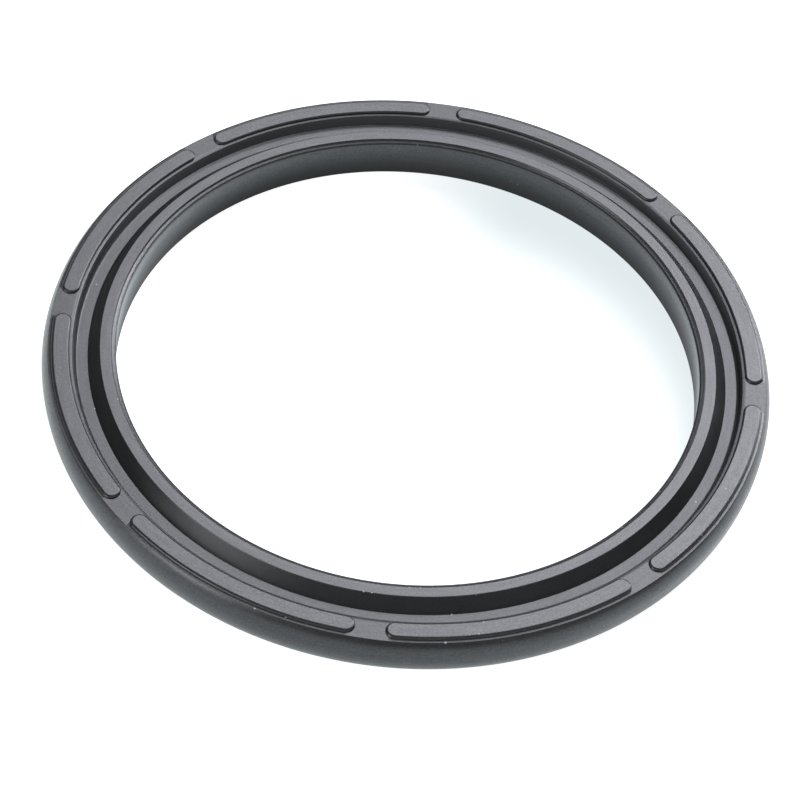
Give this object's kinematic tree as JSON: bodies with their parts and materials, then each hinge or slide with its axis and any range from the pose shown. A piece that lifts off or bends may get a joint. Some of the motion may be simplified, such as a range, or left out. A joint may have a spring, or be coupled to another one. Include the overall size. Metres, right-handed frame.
{
  "type": "pneumatic piston seal",
  "caption": "Moulded rubber piston seal ring with a barrel-shaped outer lip, a groove, a flat inner lip and raised arc pads on the outer land.",
  "frame": {"origin": "centre of the ring on the plane of its flat heel", "axes": "+Z along the ring's axis from the heel to the lips, +X through the middle of a gap between two pads"},
  "size_m": [0.1018, 0.1018, 0.0066],
  "materials": {
    "black_rubber": "satin moulded black rubber"
  },
  "bodies": {
    "root": {"seal_ring": "black_rubber"}
  },
  "joints": []
}
